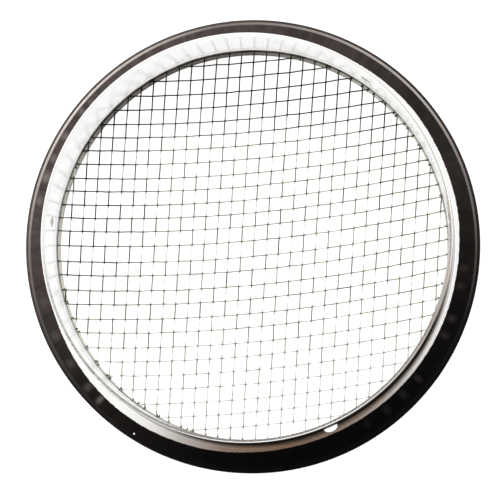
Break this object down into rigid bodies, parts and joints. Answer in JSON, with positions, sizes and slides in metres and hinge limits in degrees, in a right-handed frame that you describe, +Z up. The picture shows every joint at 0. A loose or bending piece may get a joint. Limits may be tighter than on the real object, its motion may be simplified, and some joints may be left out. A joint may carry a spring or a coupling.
{
  "type": "soil sieve",
  "caption": "Round steel garden soil sieve: tall collar with a rolled rim, wide beaded seat ring, and a woven wire screen on a hoop that lifts out.",
  "frame": {"origin": "centre of the circle that the sieve stands on, at the underside of the collar's ledge", "axes": "+Z up along the sieve's axis, towards the rolled rim; +Y along the near-straight wires of the screen, +X across them"},
  "size_m": [0.3, 0.3, 0.074],
  "materials": {
    "collar_steel": "bright polished stainless sheet, mirror-like inside the wall",
    "seat_steel": "bright polished stainless sheet with faint pressing ripples, reads near black where it reflects dark surroundings",
    "core_wire": "plain drawn wire, hidden inside the rolled edges",
    "stud_steel": "polished round stud head",
    "hoop_steel": "satin stainless strip with a warm tan cast",
    "screen_wire": "grey drawn stainless wire, crimped and woven"
  },
  "bodies": {
    "frame": {"collar": "collar_steel", "rim_core_wire": "core_wire", "seat_ring": "seat_steel", "bead_core_wire": "core_wire", "stop_stud_a": "stud_steel", "stop_stud_b": "stud_steel", "stop_stud_c": "stud_steel"},
    "screen": {"screen_hoop": "hoop_steel", "warp_wires": "screen_wire", "weft_wires": "screen_wire"}
  },
  "joints": [
    {"name": "screen_lift", "type": "slide", "parent": "frame", "child": "screen", "axis": [0, 0, 1], "range_m": [0, 0.085]}
  ]
}
